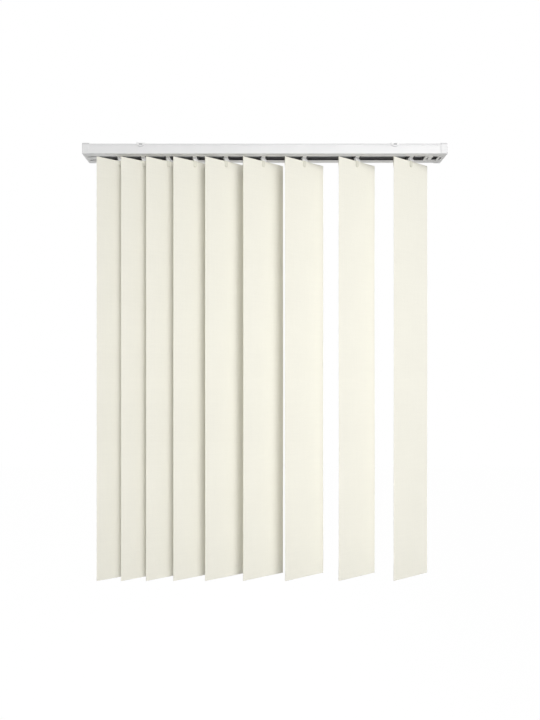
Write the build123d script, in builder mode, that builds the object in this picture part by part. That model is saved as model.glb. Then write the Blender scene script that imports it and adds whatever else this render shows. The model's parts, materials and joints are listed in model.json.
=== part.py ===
from build123d import *
import math
import os

os.makedirs("parts", exist_ok=True)

# Vertical blind on a ceiling-fixed headrail. X runs along the rail, +Y is the window side, +Z is up.
# The origin is midway between the two bracket screws, in the plane of the ceiling.
# Lengths are in millimetres and angles in degrees.

# Overall sizes
blind_length = 1034
rail_height = 29.5
rail_depth = 50
slat_count = 9
slat_width = 127
slat_length = 1200
slat_angle = 24.5
slat_top_drop = 8.6

# Places of the stems: the first and last from the rail's ends, and each one's share of the spread
first_stem_inset = 99.5
last_stem_inset = 95.5
stem_shares = (0, 0.082, 0.166, 0.258, 0.365, 0.493, 0.634, 0.815, 1)

# Working gaps
run_gap = 0.3
glide_gap = 0.15
fit_gap = 0.2
cut_overrun = 2

# Sides of the small round forms that every carrier repeats
round_sides = 16

# Headrail section
rail_wall = 1.4
lip_wall = 1.6
slot_width = 22
rail_crown = 4
rail_corner = 1.2
recess_width = 16
recess_depth = 3.5
groove_drop = 7
groove_height = 1.6
groove_depth = 0.6

# Ceiling brackets
bracket_plate = 1.2
bracket_width = 24
bracket_inset_left = 165.5
bracket_inset_right = 148.5
bracket_hole_radius = 2.25
clip_bead = 14
release_slot_width = 9
release_slot_height = 2
release_slot_drop = 4.5

# Tilt drive: a worm on the rod turns the wheel on each stem
wheel_teeth = 12
worm_pitch = 2.6
worm_pitch_radius = 4.4
tooth_addendum = 0.8
tooth_dedendum = 1
tooth_tip = 0.8
tooth_root = 1.6
wheel_height = 8
rod_flats = 4
worm_root_radius = 3.4

# Carriers
carrier_length = 22
carrier_width = 34
carrier_wall = 2
carrier_roof = 1.5
carrier_floor = 3
wing_height = 2.8
wing_corner = 2.5
guide_length = 16
guide_drop = 1.5
cord_way_width = 6
cord_way_height = 10
cord_way_wall = 1.6

# Spacer links, each at a level of its own in the tunnels on top of the carriers
spacer_strip = 0.5
spacer_level = 0.8
spacer_width = 9
spacer_head_width = 12.4
spacer_head_length = 1.2
spacer_slack = 1.1
tunnel_width = 13.2
tunnel_wall = 1.5
catch_length = 1.5

# Stems, hooks and hangers
journal_radius = 3.6
blade_width = 12
blade_shift = 1.5
blade_toe = 6
prong_width = 9
prong_wall = 1.3
prong_length = 17
prong_corner = 2
fork_root = 1.8
barb_width = 3.4
barb_height = 3.4
barb_tip = 1.2
barb_drop = 8
hanger_plate = 0.8
hanger_height = 18
hanger_corner = 3
hanger_end_gap = 3

# Slat fabric: a folded pocket at the top and a hem with the weight sealed in at the foot
fabric = 0.6
pocket_height = 32
pocket_seam = 8
hem_height = 38
hem_thickness = 2.4
punch_size = 6.4

# End caps
cap_plate = 3
skirt_wall = 0.8
skirt_reach = 16
cap_corner = 1.6
plug_wall = 1.6
plug_reach_left = 38
plug_reach_right = 53
tongue_gap = 4.5
tongue_inset = 8.5
rod_boss_wall = 1.8
rod_boss_reach = 8
port_length = 16
port_inset = 18.6
port_margin = 0.8
stop_gap_width = 4
stop_gap_span = 13
stop_gap_inset = 47
cord_slot_width = 4
cord_slot_span = 11
cord_slot_inset = 13
cord_slot_bow = 2.4

# Control end: a bead wheel on its own pin, geared one to one with a pinion on the rod
gear_teeth = 12
gear_addendum = 0.45
gear_dedendum = 0.8
gear_tip = 0.5
gear_root = 1.25
gear_face = 6
gear_inset = 14
bead_wheel_radius = 6.6
bead_wheel_width = 9
bead_count = 8
bead_radius = 1.9
pin_radius = 1.8
wheel_bore_radius = 2.1
pinion_hub = 2

# Idler pulley for the traverse cord, on a pin in the left end cap
pulley_radius = 6
pulley_width = 5
pulley_groove = 2
pulley_inset = 20
pulley_shoulder = 1.2

# Heights and places worked out from the sizes above
rail_top_z = -bracket_plate
rail_bottom_z = rail_top_z - rail_height
lip_top_z = rail_bottom_z + lip_wall
rail_length = blind_length - 2 * cap_plate
inner_depth = rail_depth - 2 * rail_wall
recess_floor_z = rail_top_z - recess_depth - rail_wall

wheel_pitch_radius = wheel_teeth * worm_pitch / (2 * math.pi)
wheel_tip_radius = wheel_pitch_radius + tooth_addendum
wheel_root_radius = wheel_pitch_radius - tooth_dedendum
rod_y = wheel_pitch_radius + worm_pitch_radius
rod_corner_radius = rod_flats / math.sqrt(3)

carrier_foot_z = lip_top_z + glide_gap
box_floor_z = carrier_foot_z + carrier_floor
worm_reach = worm_pitch_radius + tooth_addendum + run_gap
rod_z = box_floor_z + worm_reach
wheel_foot_z = box_floor_z + glide_gap
box_roof_z = rod_z + worm_reach
tunnel_floor_z = box_roof_z + carrier_roof
guide_foot_z = carrier_foot_z - guide_drop
wing_reach = inner_depth / 2 - run_gap
tunnel_height = (slat_count - 1) * spacer_level + run_gap
cord_way_y = -carrier_width / 2 + cord_way_wall + cord_way_width / 2
floor_height = lip_wall + fit_gap + plug_wall

slat_top_z = rail_bottom_z - slat_top_drop
slat_foot_z = slat_top_z - slat_length
pocket_gap = hanger_plate + 2 * fit_gap
pocket_thickness = pocket_gap + 2 * fabric
blade_top_z = guide_foot_z - run_gap
fork_top_z = slat_top_z + run_gap + fork_root
fork_gap = pocket_thickness + 2 * run_gap
fork_thickness = fork_gap + 2 * prong_wall
barb_z = slat_top_z - barb_drop
hanger_top_z = slat_top_z - fabric - fit_gap
hanger_length = slat_width - 2 * hanger_end_gap

bracket_reach = (blind_length - bracket_inset_left - bracket_inset_right) / 2
left_end_x = -bracket_reach - bracket_inset_left
right_end_x = bracket_reach + bracket_inset_right
first_stem_x = left_end_x + first_stem_inset
stem_spread = blind_length - first_stem_inset - last_stem_inset
stem_places = [first_stem_x + share * stem_spread for share in stem_shares]
widest_step = max(b - a for a, b in zip(stem_places, stem_places[1:]))
spacer_reach = widest_step + carrier_length / 2 + spacer_slack + spacer_head_length


def write(piece, name):
    piece.label = name
    export_step(piece, f"parts/{name}.step")


def spacer_z(level):
    """The underside of the spacer at a level of the carriers' tunnels."""
    return tunnel_floor_z + run_gap + level * spacer_level


def rail_hollow():
    """Inside of the rail, with its upper corners rounded so that the wall stays even."""
    with BuildSketch() as hollow:
        with Locations((0, rail_top_z - rail_wall)):
            Rectangle(
                inner_depth,
                rail_height - rail_wall - lip_wall,
                align=(Align.CENTER, Align.MAX),
            )
        fillet(hollow.vertices().group_by(Axis.Y)[-1], rail_crown - rail_wall)
    return hollow.sketch


def make_headrail():
    """Extruded channel with a slot between two lips, a screw recess on top and a snap groove each side."""
    with BuildPart() as headrail:
        with BuildSketch(Plane.YZ.offset(left_end_x + cap_plate)) as section:
            with Locations((0, rail_top_z)):
                Rectangle(rail_depth, rail_height, align=(Align.CENTER, Align.MAX))
            fillet(section.vertices().group_by(Axis.Y)[-1], rail_crown)
            fillet(section.vertices().group_by(Axis.Y)[0], rail_corner)
            add(rail_hollow(), mode=Mode.SUBTRACT)
            with Locations((0, rail_top_z)):
                Rectangle(
                    recess_width + 2 * rail_wall,
                    recess_depth + rail_wall,
                    align=(Align.CENTER, Align.MAX),
                )
                Rectangle(
                    recess_width,
                    recess_depth,
                    align=(Align.CENTER, Align.MAX),
                    mode=Mode.SUBTRACT,
                )
            with Locations((0, rail_bottom_z)):
                Rectangle(
                    slot_width,
                    lip_wall,
                    align=(Align.CENTER, Align.MIN),
                    mode=Mode.SUBTRACT,
                )
            with Locations(
                (-rail_depth / 2, rail_top_z - groove_drop),
                (rail_depth / 2, rail_top_z - groove_drop),
            ):
                Rectangle(2 * groove_depth, groove_height, mode=Mode.SUBTRACT)
        extrude(amount=rail_length)
    return headrail.part


def make_bracket():
    """Sprung clip: a ceiling plate, a half-round tab down each side of the rail and a bead in each groove."""
    tab_y = rail_depth / 2 + bracket_plate / 2
    with BuildPart() as bracket:
        Box(
            bracket_width,
            rail_depth + 2 * bracket_plate,
            bracket_plate,
            align=(Align.CENTER, Align.CENTER, Align.MAX),
        )
        for side in (-1, 1):
            with BuildSketch(Plane.XZ.offset(-side * tab_y)):
                Circle(bracket_width / 2)
                Rectangle(
                    bracket_width,
                    bracket_width,
                    align=(Align.CENTER, Align.MIN),
                    mode=Mode.SUBTRACT,
                )
            extrude(amount=bracket_plate / 2, both=True)
            with Locations((0, side * rail_depth / 2, rail_top_z - groove_drop)):
                Box(clip_bead, groove_depth, groove_height - fit_gap)
        with Locations((0, -tab_y, -release_slot_drop)):
            Box(
                release_slot_width,
                bracket_plate,
                release_slot_height,
                mode=Mode.SUBTRACT,
            )
        with Locations((0, 0, 0)):
            Hole(bracket_hole_radius)
    return bracket.part


def make_brackets():
    """The two clips, one towards each end of the rail."""
    clip = make_bracket()
    places = [Location((side * bracket_reach, 0, 0)) for side in (-1, 1)]
    return Compound(children=[clip.moved(place) for place in places])


def toothed_wheel(teeth, root_radius, tip_radius, root_width, tip_width):
    """Outline of a spur wheel: straight-flanked teeth with flat roots between them."""
    foot = root_radius - (tip_radius - root_radius) / 2
    with BuildSketch() as outline:
        RegularPolygon(root_radius, teeth)
        with PolarLocations(0, teeth):
            Polygon(
                (foot, -root_width / 2),
                (tip_radius, -tip_width / 2),
                (tip_radius, tip_width / 2),
                (foot, root_width / 2),
                align=None,
            )
    return outline.sketch


def make_stem():
    """Worm wheel, journal, slanted blade and the barbed fork that straddles the slat, in one moulding."""
    wheel = toothed_wheel(
        wheel_teeth, wheel_root_radius, wheel_tip_radius, tooth_root, tooth_tip
    )
    with BuildPart() as stem:
        with BuildSketch(Plane.XY.offset(wheel_foot_z)):
            add(wheel)
        extrude(amount=wheel_height)
        with BuildSketch(Plane.XY.offset(wheel_foot_z)):
            RegularPolygon(journal_radius, round_sides)
        extrude(amount=blade_top_z - wheel_foot_z)
        with BuildSketch(Plane.XZ):
            with BuildLine():
                Polyline(
                    (-blade_width / 2 - blade_shift, blade_top_z),
                    (blade_width / 2 - blade_shift, blade_top_z),
                    (prong_width / 2 + blade_toe, fork_top_z),
                    (prong_width / 2 + blade_toe, slat_top_z + run_gap),
                    (-prong_width / 2, slat_top_z + run_gap),
                    (-prong_width / 2, fork_top_z),
                    close=True,
                )
            make_face()
        extrude(amount=fork_thickness / 2, both=True)
        for side in (-1, 1):
            with BuildSketch(Plane.XZ.offset(side * fork_gap / 2)) as prong:
                with Locations((0, slat_top_z + run_gap)):
                    Rectangle(
                        prong_width, prong_length, align=(Align.CENTER, Align.MAX)
                    )
                chamfer(prong.vertices().group_by(Axis.Y)[0], prong_corner)
            extrude(amount=side * prong_wall)
        with BuildSketch(Plane.YZ):
            with BuildLine():
                Polyline(
                    (fork_gap / 2, barb_z + barb_height / 2),
                    (run_gap - fork_gap / 2, barb_z + barb_height / 2),
                    (run_gap - fork_gap / 2, barb_z + barb_height / 2 - barb_tip),
                    (fork_gap / 2, barb_z - barb_height / 2),
                    close=True,
                )
            make_face()
        extrude(amount=barb_width / 2, both=True)
    return stem.part


def make_hanger():
    """Stiff plate that sits in the slat's pocket and hangs from the barb."""
    with BuildPart() as hanger:
        with BuildSketch(Plane.XZ.offset(-hanger_plate / 2)) as plate:
            with Locations((0, hanger_top_z)):
                Rectangle(
                    hanger_length, hanger_height, align=(Align.CENTER, Align.MAX)
                )
            chamfer(plate.vertices(), hanger_corner)
            with Locations((0, barb_z)):
                Rectangle(
                    barb_width + 2 * run_gap, barb_height + 2 * run_gap, mode=Mode.SUBTRACT
                )
        extrude(amount=hanger_plate)
    return hanger.part


def make_slat():
    """One strip of cloth, flush in front and folded to the back into a top pocket and a weighted hem."""
    pocket_foot_z = slat_top_z - pocket_height
    pocket_floor_z = hanger_top_z - hanger_height - fit_gap
    hem_top_z = slat_foot_z + hem_height
    face_y = -pocket_thickness / 2
    sheet_y = face_y + fabric
    with BuildPart() as slat:
        with BuildSketch(Plane.YZ.offset(-slat_width / 2)) as section:
            with BuildLine():
                Polyline(
                    (face_y, slat_top_z),
                    (face_y + pocket_thickness, slat_top_z),
                    (face_y + pocket_thickness, pocket_foot_z + pocket_seam),
                    (sheet_y, pocket_foot_z),
                    (sheet_y, hem_top_z + hem_thickness),
                    (face_y + hem_thickness, hem_top_z),
                    (face_y + hem_thickness, slat_foot_z),
                    (face_y, slat_foot_z),
                    close=True,
                )
            make_face()
            chamfer(section.vertices().group_by(Axis.Y)[-1], fabric)
            chamfer(section.vertices().group_by(Axis.Y)[0], fabric)
            with Locations((0, slat_top_z - fabric)):
                Rectangle(
                    pocket_gap,
                    slat_top_z - fabric - pocket_floor_z,
                    align=(Align.CENTER, Align.MAX),
                    mode=Mode.SUBTRACT,
                )
        extrude(amount=slat_width)
        with BuildSketch(Plane.XZ):
            with Locations((0, barb_z)):
                Rectangle(punch_size, punch_size)
        extrude(amount=pocket_thickness, both=True, mode=Mode.SUBTRACT)
    return slat.part


def carrier_section():
    """Cross-section of a carrier: gear box, cord way, glide wings and the walls of the spacer tunnel."""
    with BuildSketch() as section:
        with Locations((0, carrier_foot_z)):
            Rectangle(
                carrier_width,
                tunnel_floor_z - carrier_foot_z,
                align=(Align.CENTER, Align.MIN),
            )
            Rectangle(2 * wing_reach, wing_height, align=(Align.CENTER, Align.MIN))
        for side in (-1, 1):
            with Locations((side * (tunnel_width + tunnel_wall) / 2, tunnel_floor_z)):
                Rectangle(tunnel_wall, tunnel_height, align=(Align.CENTER, Align.MIN))
        with Locations((cord_way_y, rod_z)):
            Rectangle(cord_way_width, cord_way_height, mode=Mode.SUBTRACT)
    return section.sketch


def make_carrier(own_level, drawn_level):
    """Moulded carrier. Its catches hold its own spacer's head and stop the head of the one that draws it."""
    box_length = carrier_length - 2 * carrier_wall
    box_front_y = -wheel_tip_radius - run_gap
    box_back_y = carrier_width / 2 + cut_overrun
    catch_width = (tunnel_width - spacer_width) / 2 - run_gap
    rod_window = 2 * (rod_corner_radius + run_gap)
    with BuildPart() as carrier:
        with BuildSketch(Plane.YZ.offset(-carrier_length / 2)):
            add(carrier_section())
        extrude(amount=carrier_length)
        wing_edges = carrier.edges().filter_by(Axis.Z).group_by(Axis.Y)
        chamfer(wing_edges[0] + wing_edges[-1], wing_corner)
        with Locations((0, 0, carrier_foot_z)):
            Box(
                guide_length,
                slot_width - 2 * run_gap,
                guide_drop,
                align=(Align.CENTER, Align.CENTER, Align.MAX),
            )
        with Locations((0, box_front_y, box_floor_z)):
            Box(
                box_length,
                box_back_y - box_front_y,
                box_roof_z - box_floor_z,
                align=(Align.CENTER, Align.MIN, Align.MIN),
                mode=Mode.SUBTRACT,
            )
        with Locations((0, rod_y, rod_z)):
            Box(carrier_length + cut_overrun, rod_window, rod_window, mode=Mode.SUBTRACT)
        with BuildSketch(Plane.XY.offset(guide_foot_z)):
            RegularPolygon(journal_radius + run_gap, round_sides, major_radius=False)
        extrude(amount=box_floor_z - guide_foot_z, mode=Mode.SUBTRACT)
        for end, level in ((-1, own_level), (1, drawn_level)):
            if level is not None:
                for side in (-1, 1):
                    with Locations(
                        (
                            end * (carrier_length - catch_length) / 2,
                            side * (tunnel_width - catch_width) / 2,
                            spacer_z(level),
                        )
                    ):
                        Box(
                            catch_length,
                            catch_width,
                            spacer_strip,
                            align=(Align.CENTER, Align.CENTER, Align.MIN),
                        )
    return carrier.part


def make_spacer(level):
    """Flat link with a head at each end, caught on its own carrier and running through the next ones."""
    head_x = carrier_length / 2 + fit_gap
    with BuildPart() as spacer:
        with BuildSketch(Plane.XY.offset(spacer_z(level))):
            with Locations((-head_x - spacer_head_length, 0)):
                Rectangle(
                    head_x + spacer_head_length + spacer_reach,
                    spacer_width,
                    align=(Align.MIN, Align.CENTER),
                )
                Rectangle(
                    spacer_head_length,
                    spacer_head_width,
                    align=(Align.MIN, Align.CENTER),
                )
            with Locations((spacer_reach, 0)):
                Rectangle(
                    spacer_head_length,
                    spacer_head_width,
                    align=(Align.MAX, Align.CENTER),
                )
        extrude(amount=spacer_strip)
    return spacer.part


def make_worm():
    """Sleeve of the worm at its root size, keyed to the rod by its six-sided bore."""
    length = carrier_length - 2 * carrier_wall - 2 * run_gap
    with BuildPart() as worm:
        with BuildSketch(Plane.YZ.offset(-length / 2)):
            with Locations((rod_y, rod_z)):
                RegularPolygon(worm_root_radius, round_sides)
                RegularPolygon(
                    rod_corner_radius + fit_gap, 6, mode=Mode.SUBTRACT
                )
        extrude(amount=length)
    return worm.part


def control_gear():
    """Outline of the two equal gears at the control end, a rod offset apart."""
    pitch_radius = rod_y / 2
    return toothed_wheel(
        gear_teeth,
        pitch_radius - gear_dedendum,
        pitch_radius + gear_addendum,
        gear_root,
        gear_tip,
    )


def make_tilt_rod():
    """Six-sided rod from bearing to bearing, with the control-end pinion pressed on it."""
    rod_start_x = left_end_x + cap_plate + run_gap
    rod_length = rail_length - 2 * run_gap
    gear_x = right_end_x - gear_inset
    half_tooth = Location((0, 0, 0), (0, 0, 180 / gear_teeth))
    with BuildPart() as rod:
        with BuildSketch(Plane.YZ.offset(rod_start_x)):
            with Locations((rod_y, rod_z)):
                RegularPolygon(rod_corner_radius, 6)
        extrude(amount=rod_length)
        with BuildSketch(Plane.YZ.offset(gear_x - gear_face / 2)):
            with Locations((rod_y, rod_z)):
                add(control_gear().moved(half_tooth))
        extrude(amount=gear_face)
    return rod.part


def make_chain_wheel():
    """Bead wheel and its gear in one moulding, on the control pin in the slot's middle."""
    gear_x = right_end_x - gear_inset
    wheel_x = right_end_x - port_inset - port_length / 2
    with BuildPart() as wheel:
        with BuildSketch(Plane.YZ.offset(wheel_x - bead_wheel_width / 2)):
            with Locations((0, rod_z)):
                RegularPolygon(bead_wheel_radius, bead_count, rotation=180 / bead_count)
        extrude(amount=bead_wheel_width)
        with BuildSketch(Plane.YZ.offset(gear_x - gear_face / 2)):
            with Locations((0, rod_z)):
                add(control_gear())
        extrude(amount=gear_face)
        with BuildSketch(Plane.YZ.offset(wheel_x)):
            with Locations((0, rod_z)):
                RegularPolygon(wheel_bore_radius + pinion_hub, 6)
        extrude(amount=gear_x - wheel_x)
        with Locations(Location((wheel_x, 0, rod_z), (0, 90, 0))):
            with PolarLocations(bead_wheel_radius, bead_count):
                Box(2 * bead_radius, 2 * bead_radius, 2 * bead_radius, mode=Mode.SUBTRACT)
        with BuildSketch(Plane.YZ.offset(wheel_x - bead_wheel_width)):
            with Locations((0, rod_z)):
                Circle(wheel_bore_radius)
        extrude(amount=blind_length, mode=Mode.SUBTRACT)
    return wheel.part


def make_idler_pulley():
    """Grooved pulley on which the traverse cord turns back."""
    pulley_x = left_end_x + pulley_inset
    bore_radius = pin_radius + run_gap
    with BuildPart() as pulley:
        with BuildSketch(Plane.XY):
            with BuildLine():
                Polyline(
                    (bore_radius, -pulley_width / 2),
                    (pulley_radius, -pulley_width / 2),
                    (pulley_radius - pulley_groove, 0),
                    (pulley_radius, pulley_width / 2),
                    (bore_radius, pulley_width / 2),
                    close=True,
                )
            make_face()
        revolve(axis=Axis.Y)
    return pulley.part.moved(Location((pulley_x, cord_way_y, rod_z)))


def make_end_cap(side, plug_reach):
    """Moulded cap: end plate, skirt round the rail, hollow plug in it and a tongue that closes the slot."""
    end_x = left_end_x if side < 0 else right_end_x
    plate_x = end_x - side * cap_plate
    inward = -side
    grown = 2 * (fit_gap + skirt_wall)
    plug_top_z = recess_floor_z - fit_gap
    plug_foot_z = lip_top_z + fit_gap
    plug_width = inner_depth - 2 * fit_gap
    mid_z = (rail_top_z + rail_bottom_z) / 2
    with BuildPart() as cap:
        with BuildSketch(Plane.YZ.offset(end_x)) as plate:
            with Locations((0, mid_z)):
                Rectangle(rail_depth + grown, rail_height + grown)
            chamfer(plate.vertices(), cap_corner)
        extrude(amount=inward * (cap_plate + skirt_reach))
        outer_rim = cap.faces().sort_by(Axis.X)[0 if side < 0 else -1].edges()
        chamfer(outer_rim, skirt_wall)
        with BuildSketch(Plane.YZ.offset(plate_x)) as hollow:
            with Locations((0, mid_z)):
                Rectangle(rail_depth + 2 * fit_gap, rail_height + 2 * fit_gap)
            chamfer(hollow.vertices(), skirt_wall)
        extrude(amount=inward * (skirt_reach + cut_overrun), mode=Mode.SUBTRACT)
        with BuildSketch(Plane.YZ.offset(plate_x)):
            with Locations((0, plug_top_z)):
                Rectangle(
                    plug_width, plug_top_z - plug_foot_z, align=(Align.CENTER, Align.MAX)
                )
            with Locations((0, plug_foot_z)):
                Rectangle(
                    slot_width - 2 * fit_gap,
                    plug_foot_z - rail_bottom_z,
                    align=(Align.CENTER, Align.MAX),
                )
            with Locations((0, plug_top_z - plug_wall)):
                Rectangle(
                    plug_width - 2 * plug_wall,
                    plug_top_z - plug_foot_z - 2 * plug_wall,
                    align=(Align.CENTER, Align.MAX),
                    mode=Mode.SUBTRACT,
                )
        extrude(amount=inward * plug_reach)
        with BuildSketch(Plane.YZ.offset(plate_x)):
            with Locations((rod_y, rod_z)):
                Circle(rod_corner_radius + run_gap + rod_boss_wall)
                Circle(rod_corner_radius + run_gap, mode=Mode.SUBTRACT)
        extrude(amount=inward * rod_boss_reach)
    return cap.part


def make_end_cap_left():
    """Plain end, with a gap along each side of the tongue and the idler pulley's pin in the plug."""
    wall_y = -inner_depth / 2 + fit_gap + plug_wall
    pin_x = left_end_x + pulley_inset
    gap_x = left_end_x + tongue_inset
    skirt_drop = fit_gap + skirt_wall
    pin_end_y = cord_way_y + pulley_width / 2 + run_gap
    shoulder_y = cord_way_y - pulley_width / 2 - run_gap
    with BuildPart() as cap:
        add(make_end_cap(-1, plug_reach_left))
        for side in (-1, 1):
            gap_y = side * (slot_width - tongue_gap) / 2
            with Locations((gap_x, gap_y, rail_bottom_z - skirt_drop)):
                Box(
                    plug_reach_left,
                    tongue_gap,
                    floor_height + skirt_drop,
                    align=(Align.MIN, Align.CENTER, Align.MIN),
                    mode=Mode.SUBTRACT,
                )
        with BuildSketch(Plane.XZ.offset(-wall_y)):
            with Locations((pin_x, rod_z)):
                Circle(pin_radius)
        extrude(amount=wall_y - pin_end_y)
        with BuildSketch(Plane.XZ.offset(-wall_y)):
            with Locations((pin_x, rod_z)):
                Circle(pin_radius + pulley_shoulder)
        extrude(amount=wall_y - shoulder_y)
    return cap.part


def make_end_cap_right():
    """Control end, with the bead wheel's pin, the chain port, the stop's gap and the curved cord outlet."""
    plate_x = right_end_x - cap_plate
    port_x = right_end_x - port_inset
    pin_length = port_inset + port_length - cap_plate
    slot_x = right_end_x - cord_slot_inset
    with BuildPart() as cap:
        add(make_end_cap(1, plug_reach_right))
        with Locations((port_x, 0, rail_bottom_z)):
            Box(
                port_length,
                slot_width - 2 * fit_gap - 2 * port_margin,
                floor_height,
                align=(Align.MAX, Align.CENTER, Align.MIN),
                mode=Mode.SUBTRACT,
            )
        with Locations((right_end_x - stop_gap_inset, 0, rail_bottom_z)):
            Box(
                stop_gap_width,
                stop_gap_span,
                floor_height,
                align=(Align.CENTER, Align.CENTER, Align.MIN),
                mode=Mode.SUBTRACT,
            )
        with BuildSketch(Plane.YZ.offset(plate_x)):
            with Locations((0, rod_z)):
                Circle(pin_radius)
        extrude(amount=-pin_length)
        with BuildSketch(Plane.XY.offset(rail_bottom_z + floor_height)):
            with BuildLine() as bow:
                ThreePointArc(
                    (slot_x, -cord_slot_span / 2),
                    (slot_x + cord_slot_bow, 0),
                    (slot_x, cord_slot_span / 2),
                )
            SlotArc(bow.edge(), cord_slot_width)
        extrude(amount=-rail_height, mode=Mode.SUBTRACT)
    return cap.part


write(make_headrail(), "headrail")
write(make_brackets(), "brackets")
write(make_end_cap_left(), "end_cap_left")
write(make_end_cap_right(), "end_cap_right")
write(make_tilt_rod(), "tilt_rod")
write(make_chain_wheel(), "chain_wheel")
write(make_idler_pulley(), "idler_pulley")

stem = make_stem()
hanger = make_hanger()
slat = make_slat()
worm = make_worm()
for index, place_x in enumerate(stem_places):
    number = index + 1
    along = Location((place_x, 0, 0))
    turned = Location((place_x, 0, 0), (0, 0, slat_angle))
    own_level = index if number < slat_count else None
    drawn_level = index - 1 if number > 1 else None
    write(make_carrier(own_level, drawn_level).moved(along), f"carrier_{number}")
    write(worm.moved(along), f"worm_{number}")
    write(stem.moved(turned), f"stem_{number}")
    write(hanger.moved(turned), f"hanger_{number}")
    write(slat.moved(turned), f"slat_{number}")
    if own_level is not None:
        write(make_spacer(own_level).moved(along), f"spacer_{number}")
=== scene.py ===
import json
import math

import bpy
from mathutils import Matrix, Vector


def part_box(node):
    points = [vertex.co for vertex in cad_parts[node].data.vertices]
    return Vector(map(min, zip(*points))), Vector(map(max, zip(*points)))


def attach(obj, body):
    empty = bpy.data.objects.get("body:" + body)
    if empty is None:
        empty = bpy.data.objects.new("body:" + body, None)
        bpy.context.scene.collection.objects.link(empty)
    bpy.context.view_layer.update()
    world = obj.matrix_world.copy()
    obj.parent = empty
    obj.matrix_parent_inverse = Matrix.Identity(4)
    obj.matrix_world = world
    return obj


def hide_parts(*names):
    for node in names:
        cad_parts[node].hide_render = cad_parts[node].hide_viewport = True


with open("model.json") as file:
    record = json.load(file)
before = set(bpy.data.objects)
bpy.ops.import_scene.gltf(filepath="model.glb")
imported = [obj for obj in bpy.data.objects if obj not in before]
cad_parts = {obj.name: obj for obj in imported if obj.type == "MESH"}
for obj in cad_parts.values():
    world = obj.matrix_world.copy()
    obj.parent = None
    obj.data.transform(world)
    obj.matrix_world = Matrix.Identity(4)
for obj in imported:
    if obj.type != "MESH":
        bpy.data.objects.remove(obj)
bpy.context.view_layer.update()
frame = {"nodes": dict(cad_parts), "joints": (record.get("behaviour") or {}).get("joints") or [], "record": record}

# Vertical blind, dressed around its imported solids. Metres, +X along the rail, +Y to the window, +Z up.

# Slats: the cloth, its folds and the weight in the hem
SLAT_COUNT = 9
SLAT_ANGLE = math.radians(24.5)
SLAT_WIDTH = 0.127
FABRIC = 0.0006
FOLD_THICKNESS = 0.0024
POCKET_HEIGHT = 0.032
POCKET_SEAM = 0.008
HEM_HEIGHT = 0.038
HEM_SEAM = 0.004
HEM_END = 0.004
LAP_GAP = 0.00002
PUNCH_SIZE = 0.0064
BARB_DROP = 0.008
ROW_STEP = 0.022
COLUMN_STEP = 0.0105
FOLD_STEPS = 8
WEIGHT_THICKNESS = 0.001
WEIGHT_HEIGHT = 0.03
WEIGHT_LENGTH = 0.118
WEIGHT_CORNER = 0.004
WEIGHT_CORNER_STEPS = 5

# Hang of the cloth: its bow, sway and twist, each with a phase that steps on from slat to slat
BOW = 0.0007
BOW_LEVEL = 0.5
BOW_PHASE = 1.7
SWAY = 0.0005
SWAY_PHASE = 2.3
TWIST = 0.006
TWIST_PHASE = 3.1
SETTLE_LENGTH = 0.25

# Rail: the walls that tell its coated outside from its bare channel, and the margin of that test
RAIL_WALL = 0.0014
LIP_WALL = 0.0016
RECESS_WIDTH = 0.016
RECESS_DEPTH = 0.0035
SKIN = 0.0003

# Rail's channel: how far under the top its metal keeps its full colour, and below which painted shade darkens it
# towards the lips
CHANNEL_LIT_DROP = 0.0165
CHANNEL_SHADE_DROP = 0.0195

# Rail's top edges: how far down and how far in they are darkened with painted shade
EDGE_REACH = 0.005
EDGE_DEPTH = 0.002

# Clips on the rail: their tabs, with painted shade at the foot of the rim, and the slot that frees each clip, with
# painted shade in it
CLIP_WIDTH = 0.024
CLIP_SHADED_RIM = 0.0045
CLIP_SLOT_WIDTH = 0.009
CLIP_SLOT_HEIGHT = 0.002
CLIP_SLOT_DROP = 0.0045

# Carriers: the pale collar round each stem, in the middle of the carrier's length
COLLAR_WIDTH = 0.011
MIDDLE_SHARE = 0.5

# Worms: a right-hand thread on a sleeve with a six-sided bore
WORM_LENGTH = 0.0174
WORM_PITCH = 0.0026
WORM_ROOT = 0.0034
WORM_TIP = 0.0051
WORM_BORE = 0.00251
BORE_SIDES = 6
WHEEL_TEETH = 12
THREAD_ROOT_HALF = 0.00085
THREAD_TIP_HALF = 0.0003
THREAD_SINK = 0.0003
TURN_STEPS = 24
RUN_OUT_STEPS = TURN_STEPS / 4

# Colours, as linear red, green and blue
RAIL_WHITE = (0.86, 0.86, 0.86)
# The channel's metal, which painted shade darkens towards the lips; its darker tones are also the painted shade in
# the slot behind each clip
CHANNEL_METAL = (0.7, 0.7, 0.71)
CLIP_WHITE = (0.93, 0.93, 0.925)
# The grey of the painted shade on the clips' rims and in their slots
CLIP_SHADE_GREY = (0.62, 0.62, 0.625)
CARRIER_BLACK = (0.025, 0.025, 0.025)
COLLAR_WHITE = (0.9, 0.9, 0.89)
GEAR_BLACK = (0.05, 0.05, 0.052)
HOOK_WHITE = (0.95, 0.95, 0.945)
# The hooks' prongs below the slat's top: the cloth's cream, darkened as painted shade
PRONG_SHADED_CREAM = (0.75, 0.735, 0.635)
HANGER_WHITE = (0.85, 0.85, 0.82)
SPACER_GREY = (0.17, 0.17, 0.17)
ROD_GREY = (0.42, 0.43, 0.44)
CLOTH_CREAM = (0.9, 0.882, 0.785)
# The painted shade between the threads of the weave
CLOTH_GAP_SHADE = (0.6, 0.6, 0.58)
WHITE = (1, 1, 1)

# Noise: the range that most of it lies in, and the tones that a colour wanders between with it
NOISE_LOW = 0.3
NOISE_HIGH = 0.7
FAINT_TONES = (0.97, 1.02)
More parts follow.
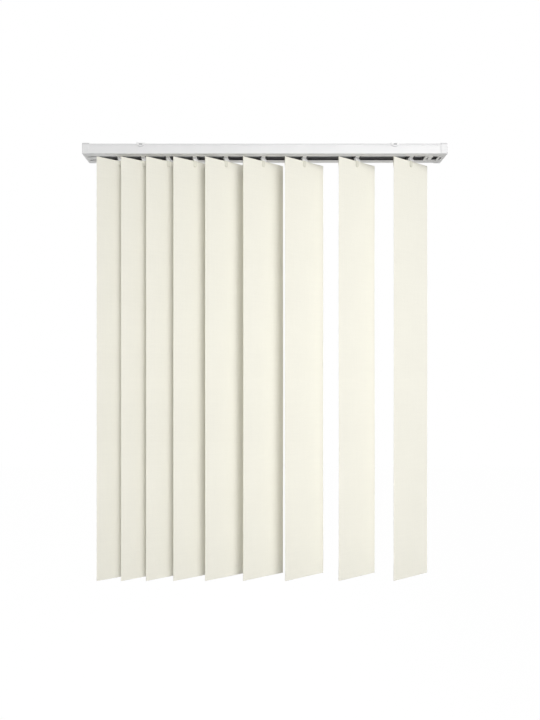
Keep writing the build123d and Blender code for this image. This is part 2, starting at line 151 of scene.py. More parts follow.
# Painted shade: these tones darken the rail's top edges, the clips' rims, the slot behind each clip, the clip's
# own slot and the channel towards its lips
EDGE_SHADE_TONES = (0.62, 0.7)
RIM_SHADE_TONES = (1, 1.1)
RAIL_SLOT_SHADE_TONES = (0.4, 0.5)
CLIP_SLOT_SHADE_TONES = (0.3, 0.4)
CHANNEL_SHADE_TONES = (0.05, 1)
DRAWN_TONES = (0.9, 1.05)
CLOTH_TONES = (0.975, 1.015)
WELD_TONES = (0.8, 0.86)

# Coated metal: its clear coat, orange peel, clouds, the painted shade along the top edges and on the clips' rims,
# and the streaks in the channel
COAT_WEIGHT = 0.15
COAT_ROUGHNESS = 0.3
COAT_GLOSS_SPREAD = 0.06
CLOUD_SCALE = 14
RAIL_PEEL_SCALE = 900
CLIP_PEEL_SCALE = 1500
PEEL_DEPTH = 0.00006
PEEL_STRENGTH = 0.5
EDGE_SHADE_SCALE = 40
CLIP_SHADE_SCALE = 300
STREAK_SCALE = 500
STREAK_SHADES = (0.8, 1.0)
ALONG_RAIL = (0.01, 1, 1)

# Moulded plastic: its grain and flow marks
GRAIN_SCALE = 1400
FINE_GRAIN_SCALE = 1800
GRAIN_DEPTH = 0.00005
GRAIN_STRENGTH = 0.6
PLASTIC_GLOSS_SPREAD = 0.08
FLOW_SCALE = 60
FLOW_STRETCH = (1, 1, 0.4)

# Drawn metal: the streaks along the rod
DRAWN_SCALE = 700
DRAWN_DEPTH = 0.00003
DRAWN_STRENGTH = 0.5
DRAWN_GLOSS = (0.24, 0.46)

# Woven cloth: its threads, slubs, clouds, nap, the painted shade between its threads and the dots of its welds
THREAD = 0.00055
WEAVE_SHADE = 0.12
WEAVE_CREST = 0.9
WEAVE_DEPTH = 0.00012
WEAVE_STRENGTH = 0.55
YARN_SCALE = 260
YARN_SHARE = 0.6
YARN_RELIEF = 0.7
ALONG_WARP = (1, 0.05, 1)
ALONG_WEFT = (0.05, 1, 1)
CLOTH_CLOUD_SCALE = 7
CLOTH_TONE_RANGE = (0.35, 0.65)
CLOTH_GLOSS = (0.84, 0.93)
CLOTH_SPECULAR = 0.25
SHEEN_WEIGHT = 0.12
SHEEN_ROUGHNESS = 0.6
WELD_PITCH = 0.0014
WELD_SHARE = 0.5
WELD_GLAZE = 0.5
WELD_RELIEF = 2.0

# Camera, from the photograph's perspective
CAMERA_PLACE = (-0.028, -1.196, -0.6856)
CAMERA_SENSOR = 36
CAMERA_LENS = 20.7
CAMERA_SHIFT = (0.0167, 0.0348)
CAMERA_NEAR = 0.01

# Studio: a pale floor, a soft world and two soft boxes
FLOOR_Z = -2.3
FLOOR_SIZE = 14
FLOOR_COLOUR = (0.9, 0.9, 0.9)
FLOOR_ROUGHNESS = 0.9
FLOOR_WHITE = 0.9
FLOOR_GLOW = 1.06
WORLD_LIGHT = 0.42
WORLD_SEEN = 1.0
KEY_PLACE = (1.42, -2.7, 0.15)
KEY_TARGET = (0.13, 0.0, -0.615)
KEY_POWER = 14.5
FILL_PLACE = (-1.6, 2.6, -0.62)
FILL_TARGET = (-0.1, 0.0, -0.62)
FILL_POWER = 6.5
BOX_SIZE = 2.6
BOX_SPREAD = math.radians(55)

# Places that the frame gives
slat_foot_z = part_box("slat_1")[0].z
slat_top_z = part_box("slat_1")[1].z
rail_low, rail_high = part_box("headrail")
lip_top_z = rail_low.z + LIP_WALL
joint_places = {j["name"]: Vector(j["pos_m"]) for j in frame["joints"] if "pos_m" in j}


def new_object(name, points, faces):
    """A mesh piece from its points and faces, in the scene's collection."""
    mesh = bpy.data.meshes.new(name)
    mesh.from_pydata(points, [], faces)
    mesh.update()
    piece = bpy.data.objects.new(name, mesh)
    bpy.context.scene.collection.objects.link(piece)
    return piece


def smoothstep(value):
    """0 below 0, 1 above 1 and a smooth rise between them."""
    share = min(1, max(0, value))
    return share * share * (3 - 2 * share)


def steps(start, end, step):
    """Even steps from start to end, both included, about a step apart."""
    count = max(1, round(abs(end - start) / step))
    return [start + (end - start) * i / count for i in range(count + 1)]


# Folds of the cloth


def fold_path():
    """The cloth's centre line down a slat as (y, z), from the pocket's flap to the hem's flap."""
    front = (FABRIC - FOLD_THICKNESS) / 2
    back = -front
    lapped = front + FABRIC + LAP_GAP
    pocket_foot = slat_top_z - POCKET_HEIGHT
    hem_top = slat_foot_z + HEM_HEIGHT
    top_centre = slat_top_z - FABRIC / 2 - back
    foot_centre = slat_foot_z + FABRIC / 2 + back
    punch_top = slat_top_z - BARB_DROP + PUNCH_SIZE / 2
    punch_foot = punch_top - PUNCH_SIZE
    path = [(lapped, pocket_foot), (lapped, pocket_foot + POCKET_SEAM / 2)]
    path += [(back, pocket_foot + POCKET_SEAM), (back, punch_foot), (back, punch_top)]
    for i in range(FOLD_STEPS + 1):
        angle = math.pi * i / FOLD_STEPS
        path.append((back * math.cos(angle), top_centre + back * math.sin(angle)))
    path += [(front, punch_top), (front, punch_foot)]
    path += [(front, z) for z in steps(punch_foot, foot_centre, ROW_STEP)[1:]]
    for i in range(1, FOLD_STEPS + 1):
        angle = math.pi * i / FOLD_STEPS
        path.append((front * math.cos(angle), foot_centre - back * math.sin(angle)))
    path += [(back, hem_top - HEM_SEAM / 2), (lapped, hem_top), (lapped, hem_top + HEM_SEAM)]
    return path


def run_lengths(path):
    """The length along a path at each of its points."""
    lengths = [0.0]
    for (y0, z0), (y1, z1) in zip(path, path[1:]):
        lengths.append(lengths[-1] + math.hypot(y1 - y0, z1 - z0))
    return lengths


# Materials


class Surface:
    """A procedural material that is built up from textures around one principled shader."""

    # The mix node's two inputs and its result, which have the same names for numbers and for colours
    MIX_SOCKETS = {"FLOAT": (2, 3, 0), "RGBA": (6, 7, 2)}

    def __init__(self, slot, **sockets):
        self.slot = slot
        self.material = bpy.data.materials.new(slot)
        self.material.use_nodes = True
        self.nodes = self.material.node_tree.nodes
        self.links = self.material.node_tree.links
        self.shader = self.nodes["Principled BSDF"]
        self.coords = self.nodes.new("ShaderNodeTexCoord").outputs
        for socket, value in sockets.items():
            self.shader.inputs[socket.replace("_", " ")].default_value = value

    def node(self, kind, inputs, **settings):
        """A node with its settings by name, and with its inputs by socket as wires or plain values."""
        made = self.nodes.new(kind)
        for key, setting in settings.items():
            setattr(made, key, setting)
        for socket, source in inputs.items():
            if isinstance(source, bpy.types.NodeSocket):
                self.links.new(source, made.inputs[socket])
            else:
                made.inputs[socket].default_value = source
        return made

    def wire(self, socket, source):
        """Wires a source into the shader."""
        self.links.new(source, self.shader.inputs[socket])

    def axes(self, coordinates):
        """The coordinates X, Y and Z as wires of their own."""
        return self.node("ShaderNodeSeparateXYZ", {"Vector": coordinates}).outputs

    def math(self, operation, first, second=None):
        """Math on a wire, with a second wire or number."""
        inputs = {0: first} if second is None else {0: first, 1: second}
        return self.node("ShaderNodeMath", inputs, operation=operation).outputs[0]

    def wave(self, source, length):
        """A sine wave along a wire, from its wavelength."""
        return self.math("SINE", self.math("MULTIPLY", source, 2 * math.pi / length))

    def mask(self, *tests):
        """1 where every test holds, each an operation on a wire and a limit."""
        held = None
        for operation, wire, limit in tests:
            test = self.math(operation, wire, limit)
            held = test if held is None else self.math("MULTIPLY", held, test)
        return held

    def mapped(self, source, start, end, low=0.0, high=1.0):
        """The source's range from start to end mapped to the range from low to high."""
        limits = {"From Min": start, "From Max": end, "To Min": low, "To Max": high}
        return self.node("ShaderNodeMapRange", {"Value": source, **limits}).outputs["Result"]

    def spread(self, source, low, high):
        """The middle range of a noise mapped to the range from low to high."""
        return self.mapped(source, NOISE_LOW, NOISE_HIGH, low, high)

    def noise(self, vector, scale, detail=3, stretch=(1, 1, 1)):
        """Noise on coordinates that are stretched first."""
        stretched = self.node("ShaderNodeMapping", {"Vector": vector, "Scale": stretch}).outputs[0]
        inputs = {"Vector": stretched, "Scale": scale, "Detail": detail}
        return self.node("ShaderNodeTexNoise", inputs).outputs["Fac"]

    def mix(self, kind, share, first, second, blend_type="MIX"):
        """Two wires mixed by the second one's share: kind is FLOAT for numbers and RGBA for colours."""
        first_socket, second_socket, result = self.MIX_SOCKETS[kind]
        inputs = {"Factor": share, first_socket: first, second_socket: second}
        made = self.node("ShaderNodeMix", inputs, data_type=kind, blend_type=blend_type)
        return made.outputs[result]

    def ramp(self, source, low, high, start, end):
        """Colours from low to high as the source goes from start to end."""
        made = self.node("ShaderNodeValToRGB", {"Fac": source})
        for stop, place, colour in zip(made.color_ramp.elements, (start, end), (low, high)):
            stop.position = place
            stop.color = (*colour, 1)
        return made.outputs["Color"]

    def toned(self, source, colour, tones, start=NOISE_LOW, end=NOISE_HIGH):
        """A colour that goes from one tone of itself to another with the source."""
        low, high = (tuple(min(1, part * tone) for part in colour) for tone in tones)
        return self.ramp(source, low, high, start, end)

    def cover(self, mask, colour):
        """Another colour laid over the base colour by a mask."""
        base = self.shader.inputs["Base Color"].links[0].from_socket
        self.wire("Base Color", self.mix("RGBA", mask, base, colour))

    def bump(self, height, depth, strength):
        """Fine relief from a height wire."""
        inputs = {"Height": height, "Distance": depth, "Strength": strength}
        self.wire("Normal", self.node("ShaderNodeBump", inputs).outputs["Normal"])


# Coated metal


def make_coat(slot, colour, roughness, peel_scale):
    """Powder coat on metal: faint orange peel, cloudy tone and uneven gloss."""
    surface = Surface(slot, Coat_Weight=COAT_WEIGHT, Coat_Roughness=COAT_ROUGHNESS)
    place = surface.coords["Object"]
    cloud = surface.noise(place, CLOUD_SCALE, detail=4)
    peel = surface.noise(place, peel_scale, detail=2)
    gloss = surface.spread(peel, roughness - COAT_GLOSS_SPREAD, roughness + COAT_GLOSS_SPREAD)
    surface.wire("Base Color", surface.toned(cloud, colour, FAINT_TONES))
    surface.wire("Roughness", gloss)
    surface.bump(peel, PEEL_DEPTH, PEEL_STRENGTH)
    return surface


def shade_top_edges(surface, colour):
    """Paints shade on a finish towards the long edges of the rail's top."""
    place = surface.coords["Object"]
    axes = surface.axes(place)
    painted_shade_ramp = surface.mapped(axes["Z"], rail_high.z - EDGE_REACH, rail_high.z)
    edge = surface.mask(
        ("GREATER_THAN", surface.math("ABSOLUTE", axes["Y"]), rail_high.y - EDGE_DEPTH),
        ("LESS_THAN", axes["Z"], rail_high.z + SKIN),
    )
    edge_shade_noise = surface.noise(place, EDGE_SHADE_SCALE, detail=4)
    surface.cover(surface.math("MULTIPLY", painted_shade_ramp, edge), surface.toned(edge_shade_noise, colour, EDGE_SHADE_TONES))


def along_clip(surface, axes):
    """The distance along the rail from the middle of the nearer clip."""
    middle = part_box("brackets")[1].x - CLIP_WIDTH / 2
    from_middle = surface.math("SUBTRACT", surface.math("ABSOLUTE", axes["X"]), middle)
    return surface.math("ABSOLUTE", from_middle)


def clip_slot_mask(surface, axes):
    """1 in the window of the slot that frees each clip."""
    from_slot = surface.math("ABSOLUTE", surface.math("ADD", axes["Z"], CLIP_SLOT_DROP))
    return surface.mask(
        ("LESS_THAN", along_clip(surface, axes), CLIP_SLOT_WIDTH / 2 + SKIN),
        ("LESS_THAN", from_slot, CLIP_SLOT_HEIGHT / 2 + SKIN),
        ("LESS_THAN", axes["Y"], 0),
    )


def channel_mask(surface, axes):
    """1 inside the rail's channel, beside the screw recess in its top and under it."""
    depth = surface.math("ABSOLUTE", axes["Y"])
    within = surface.mask(
        ("LESS_THAN", depth, rail_high.y - RAIL_WALL + SKIN),
        ("LESS_THAN", axes["Z"], rail_high.z - RAIL_WALL + SKIN),
        ("GREATER_THAN", axes["Z"], lip_top_z - SKIN),
    )
    beside = surface.math("GREATER_THAN", depth, RECESS_WIDTH / 2 + SKIN)
    under = surface.math("LESS_THAN", axes["Z"], rail_high.z - RECESS_DEPTH - SKIN)
    return surface.math("MULTIPLY", within, surface.math("MAXIMUM", beside, under))


def make_rail_coat(slot, colour, shaded_metal, roughness):
    """Powder coat outside, with painted shade along its top edges and in the slot behind each clip, and in the
    channel metal that painted shade darkens towards the lips.
    """
    surface = make_coat(slot, colour, roughness, RAIL_PEEL_SCALE)
    place = surface.coords["Object"]
    axes = surface.axes(place)
    streaks = surface.noise(place, STREAK_SCALE, stretch=ALONG_RAIL)
    # Painted shade in the channel: full colour high up, dark towards the lips, varied by the streaks
    painted_shade_ramp = surface.mapped(axes["Z"], rail_high.z - CHANNEL_SHADE_DROP, rail_high.z - CHANNEL_LIT_DROP)
    painted_light_and_streaks = surface.math("MULTIPLY", painted_shade_ramp, surface.spread(streaks, *STREAK_SHADES))
    # Painted shade along the top edges, and in the slot behind each clip
    shade_top_edges(surface, colour)
    surface.cover(clip_slot_mask(surface, axes), surface.toned(streaks, shaded_metal, RAIL_SLOT_SHADE_TONES))
    surface.cover(channel_mask(surface, axes), surface.toned(painted_light_and_streaks, shaded_metal, CHANNEL_SHADE_TONES, 0, 1))
    return surface


def make_clip_coat(slot, colour, shaded_metal, roughness):
    """Coated spring steel, with painted shade at the foot of each tab's round rim and in its slot."""
    surface = make_coat(slot, colour, roughness, CLIP_PEEL_SCALE)
    place = surface.coords["Object"]
    axes = surface.axes(place)
    squares = [surface.math("POWER", wire, 2) for wire in (along_clip(surface, axes), axes["Z"])]
    radius = surface.math("SQRT", surface.math("ADD", *squares))
    # Painted shade at the foot of each tab's round rim, and in the slot
    rim = surface.mapped(radius, CLIP_WIDTH / 2 - CLIP_SHADED_RIM, CLIP_WIDTH / 2)
    low = surface.mapped(axes["Z"], -CLIP_SLOT_DROP, -2 * CLIP_SLOT_DROP)
    clip_shade_noise = surface.noise(place, CLIP_SHADE_SCALE)
    surface.cover(surface.math("MULTIPLY", rim, low), surface.toned(clip_shade_noise, shaded_metal, RIM_SHADE_TONES))
    surface.cover(clip_slot_mask(surface, axes), surface.toned(clip_shade_noise, shaded_metal, CLIP_SLOT_SHADE_TONES))
    return surface


# Plastic


def flow_marks(surface, colour):
    """A plastic's colour with the faint flow marks of its moulding."""
    flow = surface.noise(surface.coords["Object"], FLOW_SCALE, stretch=FLOW_STRETCH)
    return surface.toned(flow, colour, FAINT_TONES)


def make_plastic(slot, colour, roughness, grain_scale=GRAIN_SCALE):
    """Moulded plastic: fine spark-eroded grain and flow marks."""
    surface = Surface(slot)
    grain = surface.noise(surface.coords["Object"], grain_scale, detail=2)
    gloss = surface.spread(grain, roughness - PLASTIC_GLOSS_SPREAD, roughness + PLASTIC_GLOSS_SPREAD)
    surface.wire("Base Color", flow_marks(surface, colour))
    surface.wire("Roughness", gloss)
    surface.bump(grain, GRAIN_DEPTH, GRAIN_STRENGTH)
    return surface


def make_cap_plastic(slot, colour, roughness):
    """White plastic with painted shade along its top edges, as on the rail."""
    surface = make_plastic(slot, colour, roughness)
    shade_top_edges(surface, colour)
    return surface


def make_carrier_plastic(slot, colour, collar_colour, roughness):
    """Black plastic with a pale collar round the stem, in the rail's slot."""
    surface = make_plastic(slot, colour, roughness)
    low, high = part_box("carrier_1")
    height = surface.axes(surface.coords["Object"])["Z"]
    share = surface.axes(surface.coords["Generated"])["X"]
    from_stem = surface.math("ABSOLUTE", surface.math("SUBTRACT", share, MIDDLE_SHARE))
    collar = surface.mask(
        ("LESS_THAN", height, lip_top_z),
        ("LESS_THAN", from_stem, COLLAR_WIDTH / 2 / (high.x - low.x)),
    )
    surface.cover(collar, flow_marks(surface, collar_colour))
    return surface


def make_hook_plastic(slot, colour, prong_shaded_colour, roughness):
    """White plastic whose prongs below the slat's top take the cloth's cream, darkened as painted shade."""
    surface = make_plastic(slot, colour, roughness)
    height = surface.axes(surface.coords["Object"])["Z"]
    prongs = surface.math("LESS_THAN", height, slat_top_z)
    # Painted shade on the prongs, in the cloth's cream
    surface.cover(prongs, flow_marks(surface, prong_shaded_colour))
    return surface


# Drawn metal


def make_drawn_metal(slot, colour):
    """Drawn bar: streaks along the bar in tone, gloss and relief."""
    surface = Surface(slot, Metallic=1.0)
    streaks = surface.noise(surface.coords["Object"], DRAWN_SCALE, stretch=ALONG_RAIL)
    surface.wire("Base Color", surface.toned(streaks, colour, DRAWN_TONES))
    surface.wire("Roughness", surface.spread(streaks, *DRAWN_GLOSS))
    surface.bump(streaks, DRAWN_DEPTH, DRAWN_STRENGTH)
    return surface


# Woven cloth, on the coordinates of the flat strip: metres across it and along it


def weave_height(surface, cloth):
    """Height of a plain weave: threads of half a wave each, over and under each other in a chequer."""
    per_metre = (1 / THREAD, 1 / THREAD, 1)
    threads = surface.node("ShaderNodeMapping", {"Vector": cloth, "Scale": per_metre}).outputs[0]
    over = surface.node("ShaderNodeTexChecker", {"Vector": threads, "Scale": 1}).outputs["Fac"]
    axes = surface.axes(threads)
    warp, weft = (surface.math("ABSOLUTE", surface.wave(axes[axis], 2)) for axis in "XY")
    return surface.mix("FLOAT", over, warp, weft)


def weld_dots(surface, cloth):
    """The dots of the welds, along each flap's seam and at the ends of the hem."""
    axes = surface.axes(cloth)
    across, along = axes["X"], axes["Y"]
    dots = surface.math("MULTIPLY", surface.wave(across, WELD_PITCH), surface.wave(along, WELD_PITCH))
    cut_length = run_lengths(fold_path())[-1]
    pocket_seam = surface.math("LESS_THAN", along, POCKET_SEAM / 2)
    hem_seam = surface.math("GREATER_THAN", along, cut_length - HEM_SEAM)
    hem_end = surface.mask(
        ("GREATER_THAN", surface.math("ABSOLUTE", across), SLAT_WIDTH / 2 - HEM_END),
        ("GREATER_THAN", along, cut_length - HEM_SEAM - HEM_HEIGHT),
    )
    hem_weld = surface.math("MAXIMUM", hem_seam, hem_end)
    welded = surface.math("MAXIMUM", pocket_seam, hem_weld)
    return surface.math("MULTIPLY", welded, surface.spread(dots, 0, WELD_SHARE))


def make_cloth(slot, colour):
    """Plain weave with slubs, a soft nap, welded seams and painted shade between its threads."""
    surface = Surface(
        slot,
        Sheen_Weight=SHEEN_WEIGHT,
        Sheen_Roughness=SHEEN_ROUGHNESS,
        Specular_IOR_Level=CLOTH_SPECULAR,
    )
    cloth = surface.coords["UV"]
    weave = weave_height(surface, cloth)
    weld = weld_dots(surface, cloth)
    slub = surface.noise(cloth, YARN_SCALE, stretch=ALONG_WARP)
    pick = surface.noise(cloth, YARN_SCALE, stretch=ALONG_WEFT)
    yarn = surface.math("MULTIPLY", surface.math("ADD", slub, pick), 1 / 2)
    cloud = surface.noise(cloth, CLOTH_CLOUD_SCALE)
    tone = surface.mix("FLOAT", YARN_SHARE, cloud, yarn)
    dyed = surface.toned(tone, colour, CLOTH_TONES, *CLOTH_TONE_RANGE)
    # Painted shade between the threads, where the weave is low
    gap_shade = surface.ramp(weave, CLOTH_GAP_SHADE, WHITE, 0, WEAVE_CREST)
    surface.wire("Base Color", surface.mix("RGBA", WEAVE_SHADE, dyed, gap_shade, "MULTIPLY"))
    surface.cover(weld, surface.toned(yarn, colour, WELD_TONES))
    glaze = surface.math("MULTIPLY", weld, WELD_GLAZE)
    surface.wire("Roughness", surface.math("SUBTRACT", surface.spread(yarn, *CLOTH_GLOSS), glaze))
    raised = surface.math("ADD", weave, surface.math("MULTIPLY", yarn, YARN_RELIEF))
    pressed = surface.math("MULTIPLY", weld, WELD_RELIEF)
    surface.bump(surface.math("SUBTRACT", raised, pressed), WEAVE_DEPTH, WEAVE_STRENGTH)
    return surface


surfaces = (
    make_rail_coat("rail_coat", RAIL_WHITE, CHANNEL_METAL, roughness=0.38),
    make_clip_coat("bracket_steel", CLIP_WHITE, CLIP_SHADE_GREY, roughness=0.32),
    make_cap_plastic("cap_plastic", RAIL_WHITE, roughness=0.45),
    make_carrier_plastic("carrier_plastic", CARRIER_BLACK, COLLAR_WHITE, roughness=0.5),
    make_plastic("gear_plastic", GEAR_BLACK, roughness=0.4),
    make_hook_plastic("hook_plastic", HOOK_WHITE, PRONG_SHADED_CREAM, roughness=0.35),
    make_plastic("hanger_plastic", HANGER_WHITE, roughness=0.5),
    make_plastic("spacer_plastic", SPACER_GREY, roughness=0.3, grain_scale=FINE_GRAIN_SCALE),
    make_drawn_metal("rod_metal", ROD_GREY),
    make_cloth("slat_fabric", CLOTH_CREAM),
)
finishes = {surface.slot: surface.material for surface in surfaces}


def dress(piece, slot):
    """Gives a piece the finish of a material slot."""
    piece.data.materials.clear()
    piece.data.materials.append(finishes[slot])


# Slats


def hang(across, height, number):
    """How far the cloth stands off its plane: a slight bow, sway and twist that grow below the pocket."""
    drop = slat_top_z - POCKET_HEIGHT - height
    loose = smoothstep(drop / SETTLE_LENGTH)
    half = SLAT_WIDTH / 2
    bow = BOW * math.sin(BOW_PHASE * number) * ((across / half) ** 2 - BOW_LEVEL)
    sway = SWAY * math.sin(SWAY_PHASE * number + drop * math.pi / SETTLE_LENGTH / 2)
    twist = TWIST * math.sin(TWIST_PHASE * number) * across * drop
    return loose * (bow + sway + twist)


def sealed(across, depth, height):
    """The cloth's depth, pressed flat at the ends of the hem, which are welded shut round the weight."""
    if abs(across) < SLAT_WIDTH / 2 or height >= slat_foot_z + HEM_HEIGHT:
        return depth
    front = (FABRIC - FOLD_THICKNESS) / 2
    return front + (depth - front) * (FABRIC + LAP_GAP) / (FOLD_THICKNESS - FABRIC)


def make_cloth_strip(number):
    """One strip of cloth with its folds, hang and punched hole, and the length that it is cut to."""
    path = fold_path()
    lengths = run_lengths(path)
    half, punch = SLAT_WIDTH / 2, PUNCH_SIZE / 2
    side = steps(punch, half - HEM_END, COLUMN_STEP) + [half]
    columns = [-x for x in reversed(side)] + side
    width = len(columns)
    points = [(x, sealed(x, y, z) + hang(x, z, number), z) for y, z in path for x in columns]
    faces = []
    for row, ((_, z0), (_, z1)) in enumerate(zip(path, path[1:])):
        punched = abs((z0 + z1) / 2 - slat_top_z + BARB_DROP) < punch
        for column in range(width - 1):
            if not (punched and columns[column] == -punch):
                corner = row * width + column
                faces.append((corner, corner + width, corner + width + 1, corner + 1))
    piece = new_object(f"cloth_{number}", points, faces)
    cloth = piece.data.uv_layers.new(name="cloth")
    for loop in piece.data.loops:
        row, column = divmod(loop.vertex_index, width)
        cloth.data[loop.index].uv = (columns[column], lengths[row])
    thick = piece.modifiers.new("thickness", "SOLIDIFY")
    thick.thickness = FABRIC
    thick.offset = 0
    thick.use_even_offset = True
    return piece, lengths[-1]


def weight_outline():
    """Outline of the hem's weight about its middle as (x, z), with round corners."""
    outline = []
    for quarter, (sx, sz) in enumerate(((1, 1), (-1, 1), (-1, -1), (1, -1))):
        middle_x = sx * (WEIGHT_LENGTH / 2 - WEIGHT_CORNER)
        middle_z = sz * (WEIGHT_HEIGHT / 2 - WEIGHT_CORNER)
        for i in range(WEIGHT_CORNER_STEPS + 1):
            angle = math.pi / 2 * (quarter + i / WEIGHT_CORNER_STEPS)
            x = middle_x + WEIGHT_CORNER * math.cos(angle)
            z = middle_z + WEIGHT_CORNER * math.sin(angle)
            outline.append((x, z))
    return outline


def make_hem_weight(number):
    """The flat weight sealed in a slat's hem."""
    outline = weight_outline()
    count = len(outline)
    middle_z = slat_foot_z + HEM_HEIGHT / 2
    points = []
    for y in (-WEIGHT_THICKNESS / 2, WEIGHT_THICKNESS / 2):
        points += [(x, y + hang(x, z + middle_z, number), z + middle_z) for x, z in outline]
    faces = [tuple(range(count)), tuple(range(2 * count - 1, count - 1, -1))]
    for i in range(count):
        after = (i + 1) % count
        faces.append((after, i, i + count, after + count))
    return new_object(f"hem_weight_{number}", points, faces)


def hang_at_stem(piece, number):
    """Turns a piece to the slats' angle and puts it under its stem."""
    place = joint_places[f"slat_{number}_turn"]
    turned = Matrix.Rotation(SLAT_ANGLE, 4, "Z")
    piece.data.transform(Matrix.Translation((place.x, place.y, 0)) @ turned)


def add_slat(number):
    """A slat's cloth, in the place of its solid, and the weight in its hem."""
    cloth, cut_length = make_cloth_strip(number)
    weight = make_hem_weight(number)
    for piece, slot in ((cloth, "slat_fabric"), (weight, "hanger_plastic")):
        hang_at_stem(piece, number)
        dress(piece, slot)
        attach(piece, f"slat_{number}")
    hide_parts(f"slat_{number}")


# Worms


def bridge(count, size, start, closed):
    """Faces that join loops of points, each with the next, and the last with the first where closed."""
    faces = []
    for here in range(count if closed else count - 1):
        after = (here + 1) % count
        for i in range(size):
            j = (i + 1) % size
            corners = ((here, i), (here, j), (after, j), (after, i))
            faces.append(tuple(start + loop * size + k for loop, k in corners))
    return faces


def ring(x, radius):
    """A ring of points about the worm's axis."""
    angles = [2 * math.pi * i / TURN_STEPS for i in range(TURN_STEPS)]
    return [(x, radius * math.cos(a), radius * math.sin(a)) for a in angles]


def bore_ring(x):
    """The six-sided bore, with as many points as the sleeve's rings."""
    half_side = math.pi / BORE_SIDES
    points = []
    for i in range(TURN_STEPS):
        angle = 2 * math.pi * i / TURN_STEPS
        from_flat = angle % (2 * half_side) - half_side
        radius = WORM_BORE * math.cos(half_side) / math.cos(from_flat)
        points.append((x, radius * math.cos(angle), radius * math.sin(angle)))
    return points


def crest_place():
    """A thread crest's place along the worm, in the gap of the wheel that the worm turns."""
    pitch_radius = WHEEL_TEETH * WORM_PITCH / (2 * math.pi)
    tooth_step = 2 * math.pi / WHEEL_TEETH
    gap_angle = (math.pi / 2 - SLAT_ANGLE) % tooth_step - tooth_step / 2
    return pitch_radius * math.sin(gap_angle)


def thread_sections():
    """The thread's sections along its helix, which rise from the root and sink into it at the ends."""
    half = WORM_LENGTH / 2
    crest_x = crest_place()
    first = math.ceil((-half + THREAD_ROOT_HALF - crest_x) / WORM_PITCH * TURN_STEPS)
    last = math.floor((half - THREAD_ROOT_HALF - crest_x) / WORM_PITCH * TURN_STEPS)
    foot = WORM_ROOT - THREAD_SINK
    sections = []
    for i in range(first, last + 1):
        angle = math.pi + 2 * math.pi * i / TURN_STEPS
        x = crest_x + WORM_PITCH * i / TURN_STEPS
        run_out = smoothstep(min(i - first, last - i) / RUN_OUT_STEPS)
        tip = WORM_ROOT + (WORM_TIP - WORM_ROOT) * run_out
        outline = (
            (x - THREAD_ROOT_HALF, foot),
            (x - THREAD_TIP_HALF, tip),
            (x + THREAD_TIP_HALF, tip),
            (x + THREAD_ROOT_HALF, foot),
        )
        sections.append([(sx, r * math.cos(angle), r * math.sin(angle)) for sx, r in outline])
    return sections


def make_worm(number):
    """Sleeve and thread in one piece, on the rod's axis."""
    half = WORM_LENGTH / 2
    sleeve = [bore_ring(-half), ring(-half, WORM_ROOT), ring(half, WORM_ROOT), bore_ring(half)]
    thread = thread_sections()
    points = [point for loop in sleeve + thread for point in loop]
    start = len(sleeve) * TURN_STEPS
    size = len(thread[0])
    end = len(points) - size
    faces = bridge(len(sleeve), TURN_STEPS, 0, closed=True)
    faces += bridge(len(thread), size, start, closed=False)
    faces.append(tuple(reversed(range(start, start + size))))
    faces.append(tuple(range(end, end + size)))
    piece = new_object(f"worm_thread_{number}", points, faces)
    piece.data.transform(Matrix.Translation(joint_places[f"worm_{number}_spin"]))
    return piece


def add_worm(number):
    """A worm with its thread, in the place of its plain sleeve."""
    piece = make_worm(number)
    dress(piece, "gear_plastic")
    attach(piece, f"worm_{number}")
    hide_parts(f"worm_{number}")


# Build


for subpart in frame["record"]["subparts"]:
    dress(frame["nodes"][subpart["node"]], subpart["material_slot"])
for number in range(1, SLAT_COUNT + 1):
    add_slat(number)
    add_worm(number)


# Studio


def seen_wire(nodes, links):
    """1 for rays that see a surface, straight, in a gloss or through something clear, and 0 for light."""
    path = nodes.new("ShaderNodeLightPath")
    seen = path.outputs["Is Camera Ray"]
    for ray in ("Is Glossy Ray", "Is Transmission Ray"):
        joined = nodes.new("ShaderNodeMath")
        joined.operation = "MAXIMUM"
        links.new(seen, joined.inputs[0])
        links.new(path.outputs[ray], joined.inputs[1])
        seen = joined.outputs[0]
    return seen


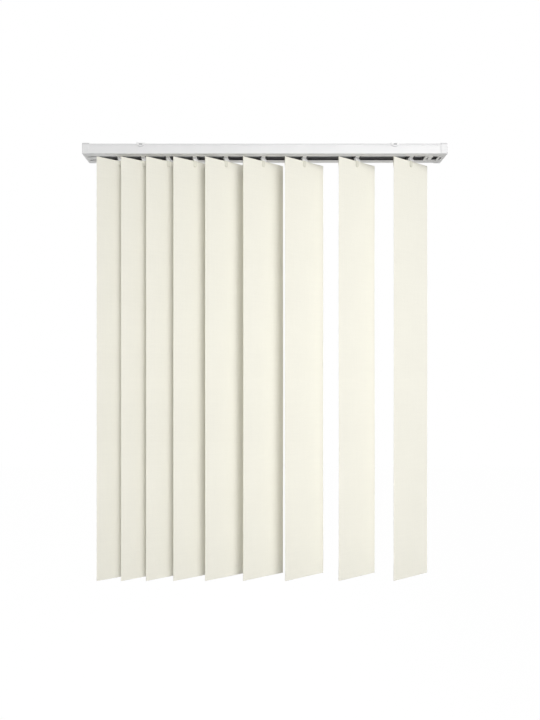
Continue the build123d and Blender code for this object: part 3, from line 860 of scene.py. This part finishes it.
def add_floor():
    """Pale floor that reads white to the camera and still takes the blind's shadow."""
    half = FLOOR_SIZE / 2
    square = ((-half, -half), (half, -half), (half, half), (-half, half))
    floor = new_object("floor", [(x, y, FLOOR_Z) for x, y in square], [(0, 1, 2, 3)])
    made = bpy.data.materials.new("floor_white")
    made.use_nodes = True
    nodes, links = made.node_tree.nodes, made.node_tree.links
    shader = nodes["Principled BSDF"]
    shader.inputs["Base Color"].default_value = (*FLOOR_COLOUR, 1)
    shader.inputs["Roughness"].default_value = FLOOR_ROUGHNESS
    glow = nodes.new("ShaderNodeEmission")
    glow.inputs["Strength"].default_value = FLOOR_GLOW
    whiteness = nodes.new("ShaderNodeMath")
    whiteness.operation = "MULTIPLY"
    whiteness.inputs[1].default_value = FLOOR_WHITE
    mix = nodes.new("ShaderNodeMixShader")
    links.new(seen_wire(nodes, links), whiteness.inputs[0])
    links.new(whiteness.outputs[0], mix.inputs[0])
    links.new(shader.outputs[0], mix.inputs[1])
    links.new(glow.outputs[0], mix.inputs[2])
    links.new(mix.outputs[0], nodes["Material Output"].inputs["Surface"])
    floor.data.materials.append(made)


def add_world():
    """White to the camera and in reflections, and a softer white as light."""
    world = bpy.data.worlds.new("studio")
    world.use_nodes = True
    bpy.context.scene.world = world
    nodes, links = world.node_tree.nodes, world.node_tree.links
    light = nodes["Background"]
    light.inputs["Color"].default_value = (*WHITE, 1)
    light.inputs["Strength"].default_value = WORLD_LIGHT
    seen = nodes.new("ShaderNodeBackground")
    seen.inputs["Color"].default_value = (*WHITE, 1)
    seen.inputs["Strength"].default_value = WORLD_SEEN
    mix = nodes.new("ShaderNodeMixShader")
    links.new(seen_wire(nodes, links), mix.inputs[0])
    links.new(light.outputs[0], mix.inputs[1])
    links.new(seen.outputs[0], mix.inputs[2])
    links.new(mix.outputs[0], nodes["World Output"].inputs["Surface"])


def add_soft_box(name, place, target, power):
    """A broad square lamp that faces its target."""
    lamp = bpy.data.lights.new(name, "AREA")
    lamp.shape = "SQUARE"
    lamp.size = BOX_SIZE
    lamp.spread = BOX_SPREAD
    lamp.energy = power
    holder = bpy.data.objects.new(name, lamp)
    holder.location = place
    toward = Vector(target) - Vector(place)
    holder.rotation_euler = toward.to_track_quat("-Z", "Y").to_euler()
    bpy.context.scene.collection.objects.link(holder)


def add_camera():
    """Level camera, straight on to the blind."""
    camera = bpy.data.cameras.new("camera")
    camera.sensor_width = CAMERA_SENSOR
    camera.lens = CAMERA_LENS
    camera.shift_x, camera.shift_y = CAMERA_SHIFT
    camera.clip_start = CAMERA_NEAR
    holder = bpy.data.objects.new("camera", camera)
    holder.location = CAMERA_PLACE
    holder.rotation_euler = (math.pi / 2, 0, 0)
    bpy.context.scene.collection.objects.link(holder)
    bpy.context.scene.camera = holder


add_floor()
add_world()
add_soft_box("key", KEY_PLACE, KEY_TARGET, KEY_POWER)
add_soft_box("fill", FILL_PLACE, FILL_TARGET, FILL_POWER)
add_camera()
bpy.context.scene.view_settings.view_transform = "Standard"
